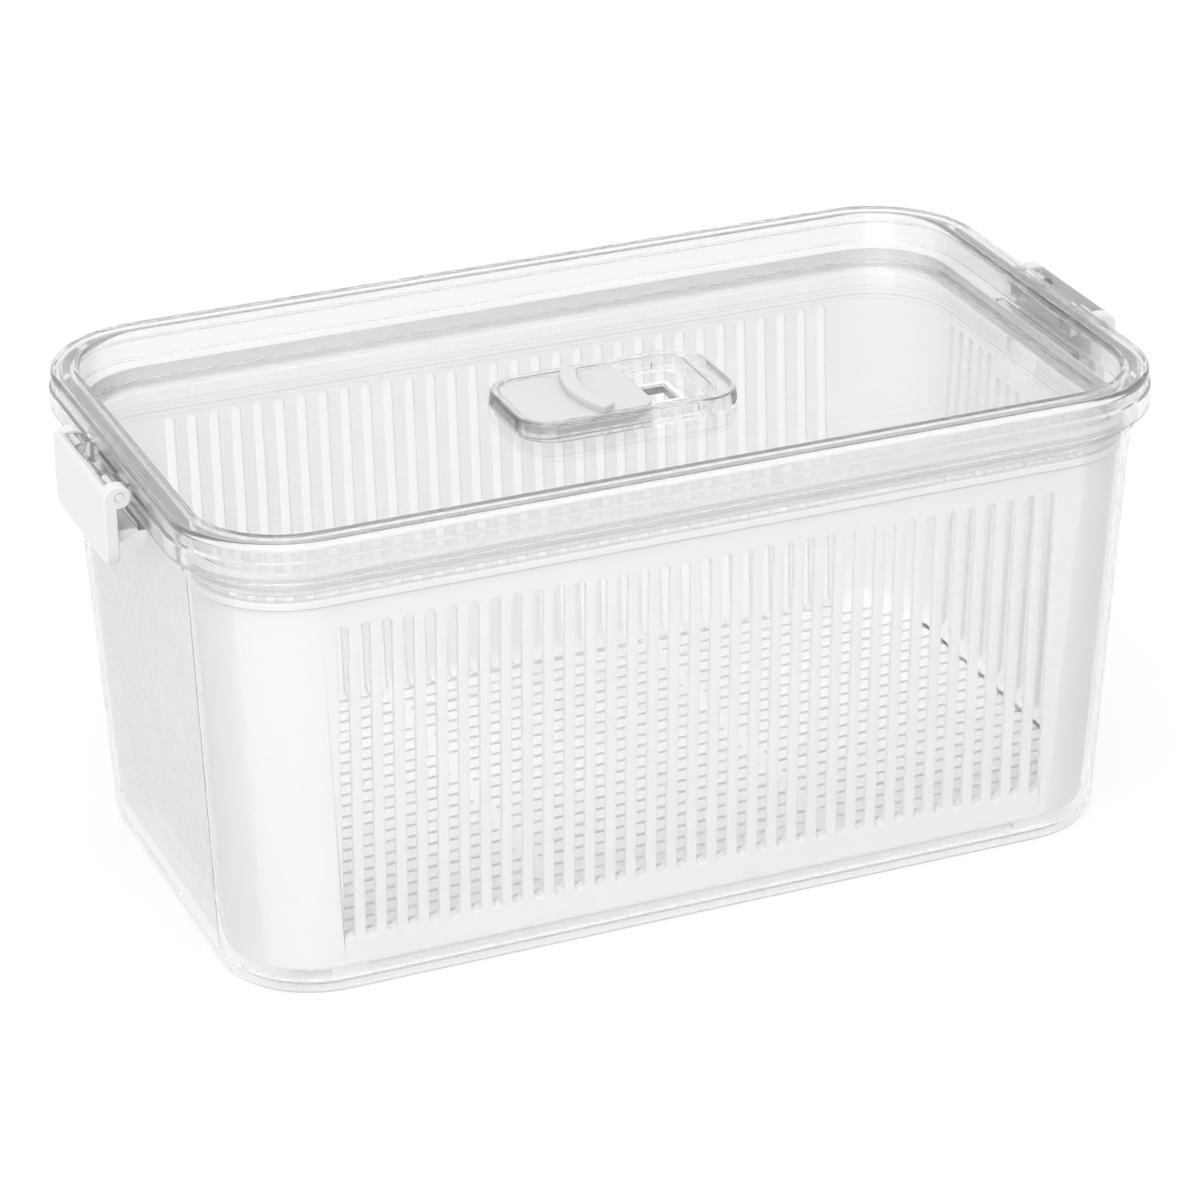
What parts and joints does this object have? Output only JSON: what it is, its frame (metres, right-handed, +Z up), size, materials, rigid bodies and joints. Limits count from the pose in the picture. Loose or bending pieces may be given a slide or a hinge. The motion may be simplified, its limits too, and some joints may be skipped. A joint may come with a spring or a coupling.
{
  "type": "food storage container",
  "caption": "Clear rectangular food container with a slotted drain basket, a sealed lid with a sliding vent and a swing latch at each end.",
  "frame": {"origin": "middle of the flat base on which the box stands", "axes": "+X to the right along the long side, -Y to the front, +Z up out of the mouth"},
  "size_m": [0.3446, 0.189, 0.1589],
  "materials": {
    "clear_box": "clear gloss",
    "white_basket": "satin",
    "clear_lid": "clear gloss",
    "silicone": "satin translucent",
    "clear_vent": "clear gloss",
    "grey_slider": "gloss",
    "vent_silicone": "satin",
    "latch_white": "gloss",
    "pin_white": "gloss"
  },
  "bodies": {
    "box": {"outer_box": "clear_box"},
    "basket": {"drain_basket": "white_basket"},
    "lid": {"lid": "clear_lid", "lid_gasket": "silicone", "vent_housing": "clear_vent", "vent_seal": "vent_silicone", "left_latch_pins": "pin_white", "right_latch_pins": "pin_white"},
    "slider": {"vent_slider": "grey_slider"},
    "latch_left": {"left_latch": "latch_white"},
    "latch_right": {"right_latch": "latch_white"}
  },
  "joints": [
    {"name": "lid_lift", "type": "slide", "parent": "box", "child": "lid", "axis": [0, 0, 1], "range_m": [0, 0.32]},
    {"name": "basket_lift", "type": "slide", "parent": "box", "child": "basket", "axis": [0, 0, 1], "range_m": [0, 0.16]},
    {"name": "vent_slide", "type": "slide", "parent": "lid", "child": "slider", "axis": [1, 0, 0], "range_m": [0, 0.018]},
    {"name": "left_latch_swing", "type": "hinge", "parent": "lid", "child": "latch_left", "pos_m": [-0.1672, 0, 0.1526], "axis": [0, 1, 0], "range_deg": [0, 105]},
    {"name": "right_latch_swing", "type": "hinge", "parent": "lid", "child": "latch_right", "pos_m": [0.1672, 0, 0.1526], "axis": [0, -1, 0], "range_deg": [0, 105]}
  ],
  "couplings": [
    {"joint": "basket_lift", "follows": "lid_lift", "ratio": 0.5}
  ]
}
